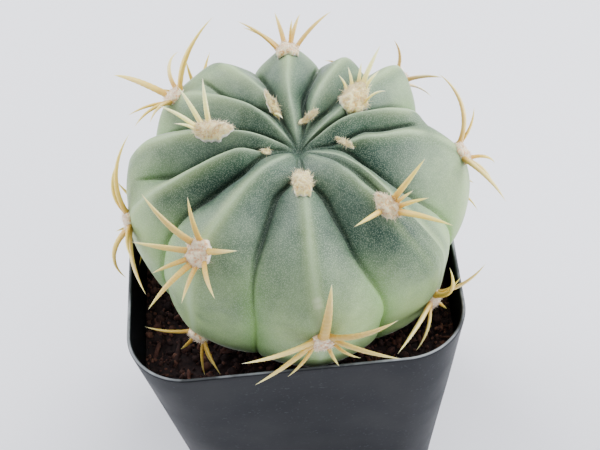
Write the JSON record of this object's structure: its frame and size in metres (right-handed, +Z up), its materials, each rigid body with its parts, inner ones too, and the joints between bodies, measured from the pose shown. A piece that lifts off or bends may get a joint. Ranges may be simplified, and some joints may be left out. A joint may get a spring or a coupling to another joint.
{
  "type": "potted barrel cactus",
  "caption": "Ribbed globular cactus with woolly areoles and bunches of stout spines, standing in potting mix in a square tapered nursery pot with drain holes.",
  "frame": {"origin": "middle of the pot's flat underside, which rests on z = 0", "axes": "+Z up along the pot's axis, -Y the front of the plant that the picture faces, +X to the right seen from the front"},
  "size_m": [0.1042, 0.1084, 0.1431],
  "materials": {
    "pot_plastic": "near-black moulded plastic with a soft sheen and fine dusty scuffs",
    "potting_grit": "dark red-brown bark, grit and peat, matt and loose",
    "cactus_skin": "blue-green waxy skin with a pale bloom, brighter green in the furrows",
    "areole_wool": "cream felted wool",
    "spine_horn": "straw to orange-brown, hard and slightly glossy, with darker bases"
  },
  "bodies": {
    "root": {"pot": "pot_plastic", "potting_mix": "potting_grit", "cactus_body": "cactus_skin", "areole_front_wool": "areole_wool", "areole_right_wool": "areole_wool", "areole_back_right_wool": "areole_wool", "areole_left_wool": "areole_wool", "areole_back_left_wool": "spine_horn", "areole_right_back_upper": "spine_horn", "areole_left_upper": "spine_horn", "areole_right_front_upper": "spine_horn", "areole_back_upper": "spine_horn", "areole_left_front_upper": "spine_horn", "areole_left_back_upper": "spine_horn", "areole_right_upper": "spine_horn", "areole_left_lower": "spine_horn", "areole_front_lower": "spine_horn", "areole_right_front_lower": "spine_horn", "areole_left_front_lower": "spine_horn", "areole_right_back_lower": "spine_horn", "areole_right_twin_lower": "spine_horn", "areole_back_right_lower": "spine_horn", "areole_back_lower": "spine_horn", "areole_back_left_lower": "spine_horn", "areole_left_back_lower": "spine_horn", "areole_left_low": "spine_horn"}
  },
  "joints": []
}
